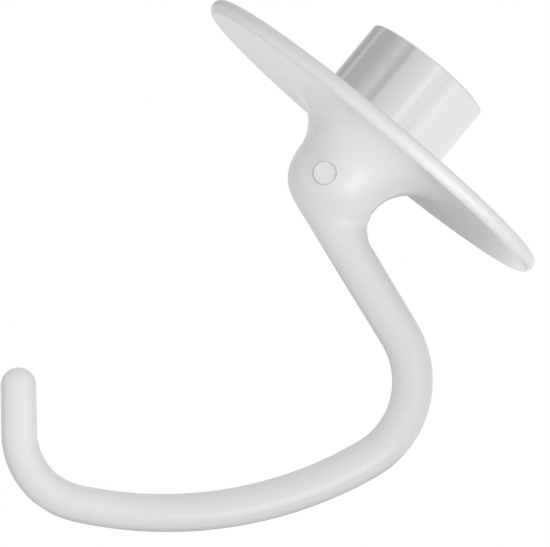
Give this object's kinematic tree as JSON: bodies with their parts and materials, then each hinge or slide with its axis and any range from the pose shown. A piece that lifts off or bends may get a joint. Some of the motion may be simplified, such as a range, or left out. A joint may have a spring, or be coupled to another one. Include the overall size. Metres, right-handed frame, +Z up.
{
  "type": "stand mixer dough hook",
  "caption": "Cast dough hook for a stand mixer: bare turned hub with a shaft bore, oval plate, round neck and a tapering curved rod that curls up at the tip.",
  "frame": {"origin": "on the shaft bore's axis, level with the top of the oval plate", "axes": "+Z up along the shaft bore, towards the mixer; +X along the plate's long axis, towards the side the rod leaves on; the hook curves in the plane Y = 0"},
  "size_m": [0.1143, 0.06, 0.1551],
  "materials": {
    "coated_casting": "smooth glossy white coating on cast aluminium, with the hub's outside left as bare turned metal"
  },
  "bodies": {
    "root": {"dough_hook": "coated_casting"}
  },
  "joints": []
}
